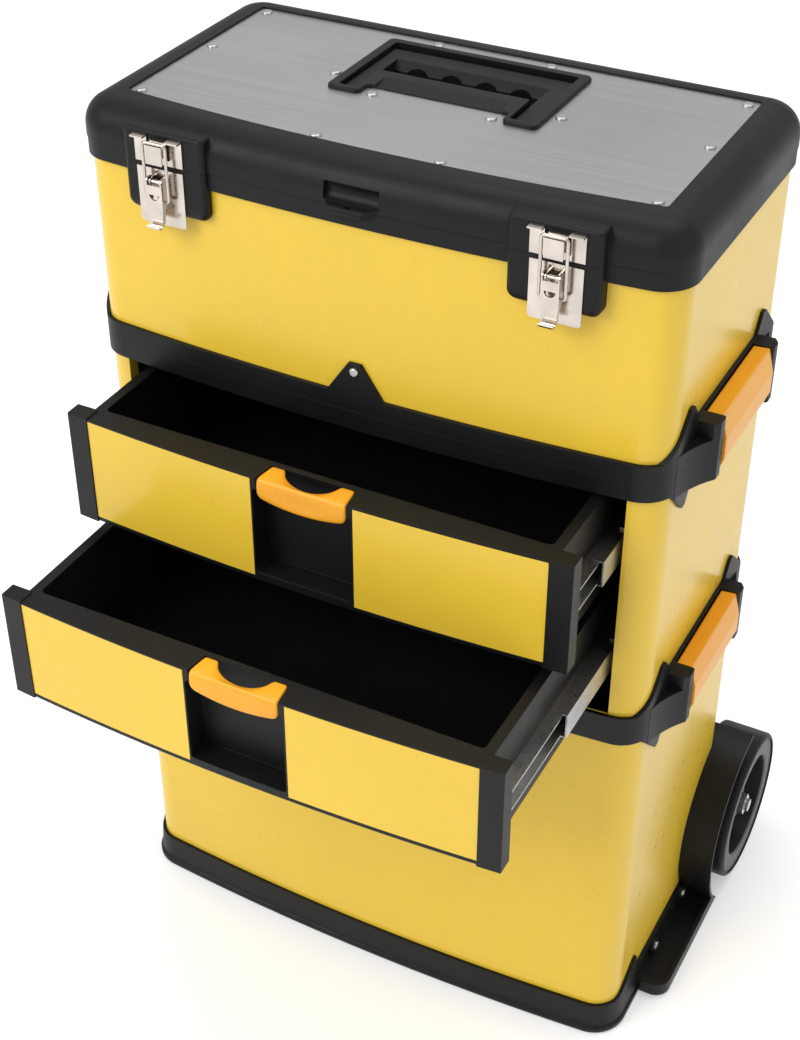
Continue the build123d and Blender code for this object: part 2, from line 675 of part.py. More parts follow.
def tab_screw():
    face_y = FRONT_FACE - RIM_OUT
    shank = rod_y(SCREW_R, face_y, face_y + 8, 0, TAB_SCREW_Z)
    head = rod_y(3.6, face_y - 1.8, face_y, 0, TAB_SCREW_Z)
    return shank + fillet(head.faces().sort_by(Axis.Y)[0].edges(), 1.2)


def box_base():
    """Foot rim of the top box with the pointed tab at the middle of its front."""
    low = UPPER_SPLIT + FOOT_RIM_HEIGHT - 2
    outline = [(-TAB_HALF, low), (-5, TAB_TOP), (5, TAB_TOP), (TAB_HALF, low)]
    tab = ring(RIM_OUT, FIT, low, TAB_TOP) & prism_y(outline, FRONT_FACE - BEYOND, FRONT_Y)
    return foot_rim(UPPER_SPLIT) + tab - tab_screw_hole()


def box_shell():
    return ring(0, -SHEET, UPPER_SPLIT + WALL, LID_SEAM - WALL) - tab_screw_hole()


def latch_pad(low, high):
    """Raised pad for the right latch, with its front corners rounded."""
    pad = block(*PAD_X, PAD_Y, FRONT_Y - WALL, low, high)
    front = pad.faces().sort_by(Axis.Y)[0]
    return fillet(front.edges().filter_by(Axis.Z), 4)


def finger_shelf(low, high, half):
    """Small shelf at the middle of the front for opening the lid, with a padlock eye."""
    root, tip = FRONT_FACE + 1, FRONT_FACE - SHELF_OUT
    outline = [(-half, root), (SHELF_OUT - half, tip), (half - SHELF_OUT, tip), (half, root)]
    shelf = prism_z(outline, low, high)
    return shelf - rod_z(SHELF_EYE_R, low - 1, high + 1, 0, tip + 3.5)


def knuckle(x0, x1, low, high):
    """Barrel on the hinge line with the web that roots it in the rim or the lid."""
    return block(x0, x1, BACK_Y + 1, HINGE_Y, low, high) + rod_x(KNUCKLE_R, x0, x1, HINGE_Y, HINGE_Z)


def hinge_pin_hole(radius):
    return pair(rod_x(radius, HINGE_X - KNUCKLE_END - 5, HINGE_X + KNUCKLE_END + 5, HINGE_Y, HINGE_Z))


def hinge_pins():
    reach = KNUCKLE_END + 0.5
    return pair(rod_x(HINGE_PIN_R, HINGE_X - reach, HINGE_X + reach, HINGE_Y, HINGE_Z))


def box_rim():
    """Upper rim of the box with latch pads, finger shelf and the fixed hinge barrels."""
    low = LID_SEAM - BOX_RIM_DEPTH
    rim = ring(RIM_OUT, FIT, low, LID_SEAM)
    rim += ring(-SHEET - FIT, RIM_IN, low, LID_SEAM - WALL)
    rim += ring(RIM_OUT, RIM_IN, LID_SEAM - WALL, LID_SEAM)
    pad_low = LID_SEAM - PAD_DROP
    pad = latch_pad(pad_low, LID_SEAM)
    pad = fillet(pad.edges().filter_by(Axis.Y).sort_by(Axis.Z)[:2], 9)
    inside = slab(FIT, pad_low - 1, LID_SEAM)
    rim += pair(pad - inside)
    rim += finger_shelf(LID_SEAM - SHELF_THICK, LID_SEAM, SHELF_HALF) - inside
    near, far = KNUCKLE_HALF + KNUCKLE_GAP, KNUCKLE_END
    rim -= pair(rod_x(KNUCKLE_R + 0.5, HINGE_X - near, HINGE_X + near, HINGE_Y, HINGE_Z))
    for x0, x1 in ((HINGE_X - far, HINGE_X - near), (HINGE_X + near, HINGE_X + far)):
        rim += pair(knuckle(x0, x1, LID_SEAM - 4 * KNUCKLE_R, LID_SEAM - 1) - inside)
    return rim - hinge_pin_hole(HINGE_PIN_R)


# Lid
def plate_outline(grow, low, high):
    half, front, back = PLATE_HALF + grow, PLATE_FRONT - grow, PLATE_BACK + grow
    bow = ThreePointArc((-half, front), (0, front - PLATE_BOW), (half, front))
    rest = Polyline((half, front), (half, back), (-half, back), (-half, front))
    face = fillet(make_face([bow, rest]).vertices(), 3 + grow)
    return extrude(Pos(0, 0, low) * face, high - low, dir=(0, 0, 1))


def tub_plan(grow, low, high):
    """Outline of the handle's well: broad for the grip, with a narrow arm for each leg."""
    out, back, front = TUB_HALF + grow, TUB_BACK + grow, TUB_FRONT - grow
    inner, ledge = TUB_ARM_IN - grow, TUB_LEDGE - grow
    right = [(out, back), (out, front), (inner, front), (inner, ledge)]
    return prism_z(right + [(-x, y) for x, y in reversed(right)], low, high, 2.5)


def tub_grip_room(grow, low, high):
    half = TUB_HALF + grow
    return block(-half, half, TUB_LEDGE - grow, TUB_BACK + grow, low, high)


def rivet_holes(radius):
    holes = [rod_z(radius, LID_CEILING - 1, LID_TOP, x, y) for x, y in RIVET_SPOTS]
    return pair(Part() + holes)


def lid_shell():
    """Rounded lid with a recess for its plate, latch pads, finger scoop and hinge barrels."""
    lid = slab(LID_GROW, LID_LOW, LID_TOP)
    lid = fillet(lid.faces().sort_by(Axis.Z)[-1].edges(), LID_ROUND)
    pad = latch_pad(LID_LOW, STRIKE_TOP + WALL)
    lid += pair(fillet(pad.faces().sort_by(Axis.Z)[-1].edges().sort_by(Axis.Y)[:1], WALL - 0.2))
    lid += finger_shelf(LID_LOW, LID_LOW + SHELF_THICK, SHELF_HALF + 2)
    face_y = FRONT_FACE - LID_GROW
    room = slab(LID_GROW - WALL, LID_LOW - 1, LID_CEILING)
    room = fillet(room.faces().sort_by(Axis.Z)[-1].edges(), LID_ROUND - WALL)
    scoop_z = LID_LOW + SHELF_THICK + SCOOP_R
    backing = block(-SCOOP_HALF - WALL, SCOOP_HALF + WALL, face_y, face_y + 9, LID_LOW - 1, scoop_z + SCOOP_R)
    lid -= room - backing
    lid -= rod_x(SCOOP_R, -SCOOP_HALF, SCOOP_HALF, face_y - 1.5, scoop_z)
    lid -= plate_outline(FIT, PLATE_TOP - TOP_SHEET, LID_TOP + 1)
    lid -= tub_plan(TUB_WALL + FIT, LID_CEILING - 1, LID_TOP + 1)
    for x in (-150, -110, 110, 150):
        rib = block(x - RIB / 2, x + RIB / 2, FRONT_Y + 5, BACK_Y - 16, LID_CEILING - 8, LID_CEILING + 1)
        lid += rib
    near, far = KNUCKLE_HALF, KNUCKLE_END + KNUCKLE_GAP
    for x0, x1 in ((HINGE_X - far, HINGE_X - near), (HINGE_X + near, HINGE_X + far)):
        lid -= pair(rod_x(KNUCKLE_R + 0.5, x0, x1, HINGE_Y, HINGE_Z))
    lid += pair(knuckle(HINGE_X - near, HINGE_X + near, LID_SEAM + 1, LID_SEAM + 12))
    return lid - hinge_pin_hole(HINGE_PIN_R + PIN_GAP) - rivet_holes(RIVET_SHANK)


def lid_plate():
    plate = plate_outline(0, PLATE_TOP - TOP_SHEET, PLATE_TOP)
    plate -= tub_plan(TUB_WALL + FIT, LID_CEILING, LID_TOP)
    return plate - rivet_holes(RIVET_SHANK)


def plate_rivets():
    """Domed rivets through the plate and the lid."""
    heads = []
    for x, y in RIVET_SPOTS:
        dome = rod_z(RIVET_R, PLATE_TOP, PLATE_TOP + 1.8, x, y)
        dome = fillet(dome.faces().sort_by(Axis.Z)[-1].edges(), 1.5)
        heads.append(dome + rod_z(RIVET_SHANK, LID_CEILING + 0.5, PLATE_TOP, x, y))
    return pair(Part() + heads)


# Carry handle and its well
def handle_tray():
    """Well for the folded handle: raised rim, sloping front bar, arm channels and deep grip room."""
    out, front, inner = TUB_HALF + BEZEL_OUT, TUB_FRONT - 5, TUB_ARM_IN - 4
    back = TUB_BACK + 7
    right = [(out, back), (out, front), (inner, front), (inner, BEZEL_STEP_Y)]
    bezel = prism_z(right + [(-x, y) for x, y in reversed(right)], PLATE_TOP, PLATE_TOP + BEZEL_HIGH, 5)
    tray = fillet(bezel.faces().sort_by(Axis.Z)[-1].edges(), BEZEL_HIGH / 2 - 0.1)
    tray += tub_plan(TUB_WALL, ARM_FLOOR - TUB_WALL, PLATE_TOP + 0.5)
    tray += tub_grip_room(TUB_WALL, TUB_FLOOR - TUB_WALL, ARM_FLOOR)
    tray -= tub_plan(0, ARM_FLOOR, PLATE_TOP + BEZEL_HIGH + 1)
    tray -= tub_grip_room(0, TUB_FLOOR, ARM_FLOOR + 1)
    near, far, above = BEZEL_STEP_Y - 1, TUB_LEDGE - 10, PLATE_TOP + BEZEL_HIGH + 1
    slope = [(near, above), (near, PLATE_TOP + 0.9), (far, PLATE_TOP + BEZEL_HIGH + 0.1), (far, above)]
    tray -= prism_x(slope, -inner + 6, inner - 6)
    return tray - pair(handle_pin(HANDLE_PIN_R))


def handle_pin(radius):
    return rod_x(radius, ARM_X[0] - 4, ARM_X[1] + 4, *HANDLE_PIVOT)


def handle_pins():
    return pair(handle_pin(HANDLE_PIN_R))


def carry_handle():
    """Folding handle: two flat arms and a round backed grip with finger swells."""
    pivot_y, pivot_z = HANDLE_PIVOT
    arm = block(*ARM_X, pivot_y, GRIP_BACK - 6, pivot_z - ARM_HALF, pivot_z + ARM_HALF)
    arm += rod_x(ARM_HALF, *ARM_X, pivot_y, pivot_z)
    section = [(GRIP_BACK + y, PLATE_TOP + z) for y, z in GRIP_SECTION]
    grip = prism_x(section, -ARM_X[1], ARM_X[1], 2.0)
    finger_y = GRIP_BACK - 26 - FINGER_R + FINGER_DEPTH
    for x in (-1.5 * FINGER_STEP, -0.5 * FINGER_STEP, 0.5 * FINGER_STEP, 1.5 * FINGER_STEP):
        grip -= rod_z(FINGER_R, TUB_FLOOR - 1, PLATE_TOP + 1, x, finger_y)
    return pair(arm) + grip - pair(handle_pin(HANDLE_PIN_R + PIN_GAP))


# Latches
def latch_strikes():
    """Strike plate on the lid: wings with turned lips and the stepped tongue for the bail."""
    front = PAD_Y - LATCH_SHEET
    plate = block(LATCH_X - STRIKE_HALF, LATCH_X + STRIKE_HALF, front, PAD_Y, STRIKE_LOW, STRIKE_TOP)
    lip_in = TONGUE_HALF + TONGUE_SLOT
    lip_low = STRIKE_TOP - LATCH_SHEET
    for x0 in (LATCH_X - STRIKE_HALF, LATCH_X + lip_in):
        plate += block(x0, x0 + STRIKE_HALF - lip_in, PAD_Y - 6.5, PAD_Y, lip_low, STRIKE_TOP)
    plate -= block(LATCH_X - lip_in, LATCH_X + lip_in, PAD_Y - 8, PAD_Y + 1, BAIL_TOP_Z, STRIKE_TOP + 1)
    for x0 in (LATCH_X - lip_in, LATCH_X + TONGUE_HALF):
        plate -= block(x0, x0 + TONGUE_SLOT, front - 1, PAD_Y + 1, STRIKE_LOW + 4, STRIKE_TOP + 1)
    shelf_top = BAIL_TOP_Z - WIRE_R - 0.1
    x0, x1, face_y = LATCH_X - TONGUE_HALF, LATCH_X + TONGUE_HALF, PAD_Y - TONGUE_OUT
    plate += block(x0, x1, face_y, PAD_Y, shelf_top - LATCH_SHEET, shelf_top)
    plate += block(x0, x1, face_y, face_y + LATCH_SHEET, STRIKE_LOW + 2, shelf_top)
    return pair(plate)


def latch_pin(radius):
    return rod_x(radius, LATCH_X - LEVER_HALF, LATCH_X + LEVER_HALF, *LEVER_PIN)


def latch_bases():
    """Base plate on the box with two small ears that hold the lever pin."""
    pin_y, pin_z = LEVER_PIN
    front = PAD_Y - LATCH_SHEET
    plate = block(LATCH_X - BASE_PLATE_HALF, LATCH_X + BASE_PLATE_HALF, front, PAD_Y, *BASE_PLATE_Z)
    plate = fillet(plate.edges().filter_by(Axis.Y).sort_by(Axis.Z)[:2], 3)
    eye_r = LATCH_PIN_R + 1.1
    ear_out = LEVER_HALF - LEVER_SIDE - LATCH_EAR_GAP
    for x0 in (LATCH_X - ear_out, LATCH_X + ear_out - LATCH_SHEET):
        x1 = x0 + LATCH_SHEET
        plate += block(x0, x1, pin_y, front, pin_z - eye_r, pin_z + eye_r)
        plate += rod_x(eye_r, x0, x1, pin_y, pin_z)
    return pair(plate - latch_pin(LATCH_PIN_R))


def latch_pins():
    return pair(latch_pin(LATCH_PIN_R))


def lever_face(inset):
    """Front outline of the lever: square above, drawn in towards the finger end."""
    wide, tip = LEVER_HALF - inset, LEVER_TIP_HALF - inset
    high, low = LEVER_PIN[1] + 6, LEVER_END - 5
    middle = LEVER_PIN[1] - BAIL_DROP - 4
    right = [(LATCH_X + wide, high), (LATCH_X + wide, middle), (LATCH_X + tip, low)]
    outline = right + [(2 * LATCH_X - x, z) for x, z in reversed(right)]
    return prism_y(outline, LEVER_FACE - BEYOND, PAD_Y)


def latch_lever():
    """Right lever: folded channel with a scooped window and a curled finger end."""
    pin_y, pin_z = LEVER_PIN
    x0, x1 = LATCH_X - LEVER_HALF, LATCH_X + LEVER_HALF
    side = [
        (LEVER_FACE, pin_z),
        (pin_y + 4, pin_z),
        (pin_y + 4, pin_z - 11),
        (pin_y - 0.5, pin_z - BAIL_DROP - 6),
        (pin_y - 0.5, LEVER_END),
        (LEVER_FACE, LEVER_END),
    ]
    lever = prism_x(side, x0, x1) + rod_x(4.0, x0, x1, pin_y, pin_z)
    inside = LEVER_FACE + LATCH_SHEET
    ahead, behind = LEVER_FACE - BEYOND, PAD_Y
    lever -= lever_face(LEVER_SIDE) & block(x0, x1, inside, behind, LEVER_END - 9, pin_z + 9)
    lever -= block(x0 + LEVER_SIDE, x1 - LEVER_SIDE, ahead, behind, pin_z - 1.6, pin_z + 9)
    curl_y = LEVER_FACE + LATCH_SHEET - CURL_R
    curl = rod_x(CURL_R, x0, x1, curl_y, LEVER_END) - rod_x(CURL_R - LATCH_SHEET, x0, x1, curl_y, LEVER_END)
    lever += curl & block(x0, x1, ahead, behind, LEVER_END - 9, LEVER_END)
    lever &= lever_face(0)
    scoop = rod_y(4.2, ahead, inside + 0.1, LATCH_X, pin_z - 8.5)
    lever -= scoop & block(x0, x1, ahead, behind, pin_z - 15, pin_z - 8.5)
    lever -= rod_x(WIRE_R + PIN_GAP, x0 - 1, x1 + 1, pin_y, pin_z - BAIL_DROP)
    return lever - latch_pin(LATCH_PIN_R + 0.06)


def latch_bail():
    """Wire loop that hangs on the lever and hooks over the tongue."""
    y, low = LEVER_PIN[0], LEVER_PIN[1] - BAIL_DROP
    root = LEVER_HALF - LEVER_SIDE - 0.8
    path = FilletPolyline(
        (LATCH_X + root, y, low),
        (LATCH_X + BAIL_HALF, y, low),
        (LATCH_X + BAIL_HALF, y, BAIL_TOP_Z),
        (LATCH_X - BAIL_HALF, y, BAIL_TOP_Z),
        (LATCH_X - BAIL_HALF, y, low),
        (LATCH_X - root, y, low),
        radius=2.2,
    )
    return sweep(Plane(path @ 0, z_dir=path % 0) * Circle(WIRE_R), path=path)


# Pull handle
def outer_tubes():
    tube = rod_z(OUTER_TUBE_R, TUBE_BOTTOM, TUBE_TOP, LEG_X, TUBE_Y)
    return pair(tube - rod_z(OUTER_TUBE_R - TUBE_WALL, TUBE_BOTTOM - 1, TUBE_TOP + 1, LEG_X, TUBE_Y))


def handle_brackets():
    """Saddles that hold the outer tubes to the back of the bin."""
    saddles = []
    jaw = OUTER_TUBE_R + 7
    for low in SADDLE_Z:
        right = [(jaw + 8, BACK_Y), (jaw, TUBE_Y - 5), (jaw, TUBE_Y + 15)]
        outline = [(LEG_X + x, y) for x, y in right] + [(LEG_X - x, y) for x, y in reversed(right)]
        saddle = prism_z(outline, low, low + SADDLE_HEIGHT, 2)
        saddles.append(pair(saddle - rod_z(OUTER_TUBE_R, low - 1, low + SADDLE_HEIGHT + 1, LEG_X, TUBE_Y)))
    return saddles[0] + saddles[1]


def guide_bushes():
    """Bushes pressed into the tube tops that guide the sliding legs."""
    bush = rod_z(BUSH_R, TUBE_TOP, TUBE_TOP + BUSH_HEIGHT, LEG_X, TUBE_Y)
    bush += rod_z(OUTER_TUBE_R - TUBE_WALL, TUBE_TOP - BUSH_DEPTH, TUBE_TOP, LEG_X, TUBE_Y)
    bore = rod_z(INNER_TUBE_R + RUN_GAP, TUBE_TOP - BUSH_DEPTH - 1, TUBE_TOP + BUSH_HEIGHT + 1, LEG_X, TUBE_Y)
    return pair(bush - bore)


def pull_tube():
    """Sliding tube bent to a U, open at its feet."""
    foot = TUBE_BOTTOM + 10
    route = [(-LEG_X, foot), (-LEG_X, PULL_TOP), (LEG_X, PULL_TOP), (LEG_X, foot)]
    path = FilletPolyline(*[(x, TUBE_Y, z) for x, z in route], radius=PULL_BEND)
    section = Circle(INNER_TUBE_R) - Circle(INNER_TUBE_R - TUBE_WALL)
    return sweep(Plane(path @ 0, z_dir=path % 0) * section, path=path)


def pull_grip():
    """Soft sleeve round the cross bar, with grooves for the hand."""
    sleeve = rod_x(GRIP_R, -GRIP_HALF, GRIP_HALF, TUBE_Y, PULL_TOP)
    sleeve = fillet(sleeve.edges().filter_by(GeomType.CIRCLE), GRIP_R - INNER_TUBE_R - 0.5)
    for x in range(-40, 41, 16):
        groove = rod_x(GRIP_R + 1, x - 1.2, x + 1.2, TUBE_Y, PULL_TOP)
        sleeve -= groove - rod_x(GRIP_R - 0.9, x - 2, x + 2, TUBE_Y, PULL_TOP)
    return sleeve - rod_x(INNER_TUBE_R, -GRIP_HALF - 1, GRIP_HALF + 1, TUBE_Y, PULL_TOP)


# One STEP file for each node
def nodes():
    made = {
        "bin_base": bin_base(),
        "bin_front_sheet": bin_front_sheet(),
        "bin_rear_sheet": bin_rear_sheet(),
        "bin_top_rim": top_rim(LOWER_SPLIT, LOWER_RIM_DEPTH),
        "bracket_screws": bracket_screws(),
        "wheel_axle": axle(),
        "axle_nuts": axle_nuts(),
        "cabinet_base": foot_rim(LOWER_SPLIT),
        "cabinet_shell": cabinet_shell(),
        "cabinet_top_rim": top_rim(UPPER_SPLIT, CABINET_RIM_DEPTH),
        "slide_carriers": slide_carriers(),
        "cabinet_rails": cabinet_rails(),
        "box_base": box_base(),
        "box_shell": box_shell(),
        "box_rim": box_rim(),
        "tab_screw": tab_screw(),
        "clamp_pins": clamp_pins(),
        "hinge_pins": hinge_pins(),
        "latch_bases": latch_bases(),
        "latch_pins": latch_pins(),
        "handle_brackets": handle_brackets(),
        "handle_outer_tubes": outer_tubes(),
        "handle_guide_bushes": guide_bushes(),
        "pull_handle_tube": pull_tube(),
        "pull_handle_grip": pull_grip(),
        "lid_shell": lid_shell(),
        "lid_plate": lid_plate(),
        "plate_rivets": plate_rivets(),
        "handle_tray": handle_tray(),
        "handle_pins": handle_pins(),
        "latch_strikes": latch_strikes(),
        "carry_handle": carry_handle(),
    }
    for name in DRAWER_TOPS:
        made[f"{name}_drawer_tray"] = drawer_tray(name)
        made[f"{name}_drawer_front"] = drawer_front(name)
        made[f"{name}_drawer_panels"] = drawer_panels(name)
        made[f"{name}_drawer_pull"] = drawer_pull(name)
        made[f"{name}_drawer_rails"] = drawer_rails(name)
        made[f"{name}_middle_rails"] = middle_rails(name)
    sided = {
        "lower_clamp": clamp(LOWER_SPLIT),
        "upper_clamp": clamp(UPPER_SPLIT),
        "wheel_bracket": wheel_bracket(),
        "wheel": wheel(),
        "tyre": tyre(),
        "latch_lever": latch_lever(),
        "latch_bail": latch_bail(),
    }
    for name, part in sided.items():
        made[f"{name}_right"] = part
        made[f"{name}_left"] = left(part)
    return made


os.makedirs("parts", exist_ok=True)
for node, shape in nodes().items():
    export_step(shape, f"parts/{node}.step")
    print(node, len(shape.solids()), round(shape.volume))
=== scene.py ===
import json
import math

import bmesh
import bpy
from mathutils import Matrix, Vector


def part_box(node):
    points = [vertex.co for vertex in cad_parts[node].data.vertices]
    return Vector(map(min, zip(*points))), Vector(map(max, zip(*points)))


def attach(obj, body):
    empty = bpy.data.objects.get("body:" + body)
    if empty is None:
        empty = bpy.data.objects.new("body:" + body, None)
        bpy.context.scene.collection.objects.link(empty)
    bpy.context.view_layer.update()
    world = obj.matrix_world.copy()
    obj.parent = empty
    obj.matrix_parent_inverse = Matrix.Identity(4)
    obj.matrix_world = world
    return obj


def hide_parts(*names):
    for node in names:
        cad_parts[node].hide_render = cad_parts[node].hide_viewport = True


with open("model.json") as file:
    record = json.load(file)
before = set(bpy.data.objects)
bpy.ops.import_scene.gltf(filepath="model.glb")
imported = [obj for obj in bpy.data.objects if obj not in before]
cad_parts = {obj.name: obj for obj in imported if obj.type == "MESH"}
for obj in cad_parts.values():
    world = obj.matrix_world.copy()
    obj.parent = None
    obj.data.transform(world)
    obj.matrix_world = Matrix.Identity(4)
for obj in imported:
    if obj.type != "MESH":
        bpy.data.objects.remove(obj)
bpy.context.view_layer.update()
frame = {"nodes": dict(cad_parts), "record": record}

# Camera of the photograph: pixels, metres and degrees
PHOTO_WIDTH = 800
FOCAL_PIXELS = 1798.0
CAMERA_PLACE = (0.5374, -1.0726, 1.2709)
CAMERA_AZIMUTH = 27.705
CAMERA_ELEVATION = 35.868
CAMERA_ROLL = -0.058
SENSOR_WIDTH = 36.0
NEAR_CLIP = 0.01


# Shader maths
class Wire:
    """A socket in a finish's node tree that takes arithmetic."""

    def __init__(self, finish, socket):
        self.finish = finish
        self.socket = socket

    def output(self, key):
        """Another output of the same node."""
        return Wire(self.finish, self.socket.node.outputs[key])

    def maths(self, operation, first, second=None):
        values = {0: first} if second is None else {0: first, 1: second}
        return self.finish.node("ShaderNodeMath", {"operation": operation}, values)

    def __add__(self, other):
        return self.maths("ADD", self, other)

    def __sub__(self, other):
        return self.maths("SUBTRACT", self, other)

    def __mul__(self, other):
        return self.maths("MULTIPLY", self, other)

    def __gt__(self, other):
        return self.maths("GREATER_THAN", self, other)

    def root(self):
        return self.maths("SQRT", self)


SOCKETS = {
    "colour": "Base Color",
    "roughness": "Roughness",
    "metal": "Metallic",
    "coat": "Coat Weight",
    "coat_roughness": "Coat Roughness",
    "specular": "Specular IOR Level",
    "normal": "Normal",
}
BEVEL_SAMPLES = 4

# Span of a noise texture that holds nearly all its values
NOISE_LOW = 0.3
NOISE_HIGH = 0.7


class Finish:
    """One material in the making."""

    def __init__(self, name):
        self.material = bpy.data.materials.new(name)
        self.material.use_nodes = True
        self.tree = self.material.node_tree
        self.tree.nodes.clear()
        self.surface = self.tree.nodes.new("ShaderNodeOutputMaterial").inputs["Surface"]

    def node(self, kind, settings=None, values=None, out=0):
        """Adds a node, sets it, fills its sockets with values or wires, returns one output."""
        made = self.tree.nodes.new(kind)
        for key, value in (settings or {}).items():
            setattr(made, key, value)
        for key, value in (values or {}).items():
            if isinstance(value, Wire):
                self.tree.links.new(value.socket, made.inputs[key])
            else:
                made.inputs[key].default_value = value
        return Wire(self, made.outputs[out])

    def place(self):
        return self.node("ShaderNodeTexCoord", out="Object")

    def axes(self):
        split = self.node("ShaderNodeSeparateXYZ", values={0: self.place()})
        return tuple(split.output(index) for index in range(3))

    def stretched(self, scale):
        return self.node("ShaderNodeMapping", values={"Vector": self.place(), "Scale": scale})

    def noise(self, scale, detail=3.0, roughness=0.55, vector=None):
        vector = vector or self.place()
        values = {"Vector": vector, "Scale": scale, "Detail": detail, "Roughness": roughness}
        return self.node("ShaderNodeTexNoise", values=values)

    def grains(self, scale):
        return self.node("ShaderNodeTexVoronoi", values={"Vector": self.place(), "Scale": scale})

    def blend(self, share, first, second):
        """Mixes two colours, each a tuple or a wire."""
        values = {0: share, 6: rgba(first), 7: rgba(second)}
        return self.node("ShaderNodeMix", {"data_type": "RGBA"}, values, out=2)

    def fade(self, wire, low=NOISE_LOW, high=NOISE_HIGH, to_low=0.0, to_high=1.0):
        """Stretches the span from low to high over the span from to_low to to_high."""
        values = {
            "Value": wire,
            "From Min": low,
            "From Max": high,
            "To Min": to_low,
            "To Max": to_high,
        }
        return self.node("ShaderNodeMapRange", values=values)

    def rounded(self, radius):
        """Surface direction with its sharp edges softened to a small radius."""
        return self.node("ShaderNodeBevel", {"samples": BEVEL_SAMPLES}, {"Radius": radius})

    def bump(self, height, depth, strength, under=None):
        """Relief of a depth in metres, on top of the surface direction under it."""
        values = {"Height": height, "Distance": depth, "Strength": strength}
        if under is not None:
            values["Normal"] = under
        return self.node("ShaderNodeBump", values=values)

    def shade(self, **sockets):
        """Ends the tree in one Principled shader, with each socket named in words."""
        values = {SOCKETS[key]: value for key, value in sockets.items()}
        self.end(self.node("ShaderNodeBsdfPrincipled", values=values))
        return self.material

    def end(self, shader):
        self.tree.links.new(shader.socket, self.surface)


def rgba(colour):
    return colour if isinstance(colour, Wire) else (*colour, 1.0)


def scaled(colour, factor):
    return tuple(channel * factor for channel in colour)


# Finishes
BLACK = (0.0055, 0.0057, 0.0062)
YELLOW = (0.94, 0.63, 0.048)
ORANGE = (0.93, 0.38, 0.018)
PLATE_STEEL = (0.57, 0.57, 0.58)
NICKEL = (0.64, 0.58, 0.525)
ZINC = (0.62, 0.62, 0.62)
WHEEL_BLACK = (0.008, 0.008, 0.0085)
TREAD_BLACK = (0.009, 0.009, 0.0095)
RING_GREY_LOW = (0.085, 0.087, 0.09)
RING_GREY_HIGH = (0.115, 0.117, 0.12)

# Stretch of the hairlines in brushed steel, along x and across it
HAIR_STRETCH = (3.0, 900.0, 900.0)
RUBBER_EDGE = 0.001
PLATE_EDGE = 0.0006

# Grey ring of a wheel: inner radius, and depth behind the outer face that it covers
RING_RADIUS = 0.0486
RING_DEPTH = 0.004


def painted(name, colour):
    """Gloss powder coat on thin sheet: faint orange peel and slow changes of tone."""
    finish = Finish(name)
    slow = finish.noise(5.0, detail=2.0)
    fine = finish.noise(60.0)
    tone = finish.fade(slow, to_low=0.96, to_high=1.03)
    body = finish.blend(finish.fade(slow + fine * 0.4, 0.45, 0.95), scaled(colour, 0.93), colour)
    peel = finish.noise(330.0, detail=0.0)
    ripple = finish.noise(14.0, detail=1.0)
    normal = finish.bump(peel, depth=0.00002, strength=0.2)
    normal = finish.bump(ripple, depth=0.0005, strength=0.12, under=normal)
    rough = finish.fade(fine, to_low=0.27, to_high=0.36) * tone
    return finish.shade(colour=body, roughness=rough, coat=0.22, coat_roughness=0.14,
                        specular=0.4, normal=normal)


def moulded(name, colour, low=0.40, high=0.55, grain=1.0, edge=0.0009, sheen=0.24):
    """Injection moulded plastic: fine spark eroded grain and rounded edges."""
    finish = Finish(name)
    cells = finish.grains(1500.0)
    cloud = finish.noise(9.0, detail=4.0)
    speck = finish.noise(420.0, detail=2.0)
    pale = tuple(min(1.0, channel * 1.25 + 0.001) for channel in colour)
    body = finish.blend(finish.fade(cloud + speck * 0.5, 0.6, 1.05), colour, pale)
    normal = finish.bump(cells, 0.00007 * grain, 0.55, finish.rounded(edge))
    rough = finish.fade(cloud + speck * 0.35, 0.5, 0.95, low, high)
    return finish.shade(colour=body, roughness=rough, specular=sheen, normal=normal)


def brushed(name, colour, rough=0.36):
    """Steel brushed in one direction, with long hairlines and slow stains."""
    finish = Finish(name)
    stretched = finish.stretched(HAIR_STRETCH)
    hair = finish.noise(1.0, detail=5.0, roughness=0.65, vector=stretched)
    cloud = finish.noise(6.0, detail=2.0)
    dull = scaled(colour, 0.82)
    body = finish.blend(finish.fade(hair * 0.6 + cloud * 0.4, 0.38, 0.62), dull, colour)
    normal = finish.bump(hair, 0.00008, 0.35, finish.rounded(PLATE_EDGE))
    roughness = finish.fade(hair, to_low=rough - 0.05, to_high=rough + 0.08)
    return finish.shade(colour=body, metal=1.0, roughness=roughness, normal=normal)


def plated(name, colour, rough):
    """Nickel or zinc plating on pressed metal: soft waves and fine scuffs."""
    finish = Finish(name)
    wave = finish.noise(55.0, detail=1.0)
    scuff = finish.noise(700.0, detail=4.0, roughness=0.7)
    body = finish.blend(finish.fade(wave), scaled(colour, 0.8), colour)
    normal = finish.bump(wave, depth=0.0009, strength=0.35)
    normal = finish.bump(scuff, depth=0.00003, strength=0.3, under=normal)
    roughness = finish.fade(scuff, 0.35, 0.7, rough - 0.04, rough + 0.14)
    return finish.shade(colour=body, metal=1.0, roughness=roughness, normal=normal)


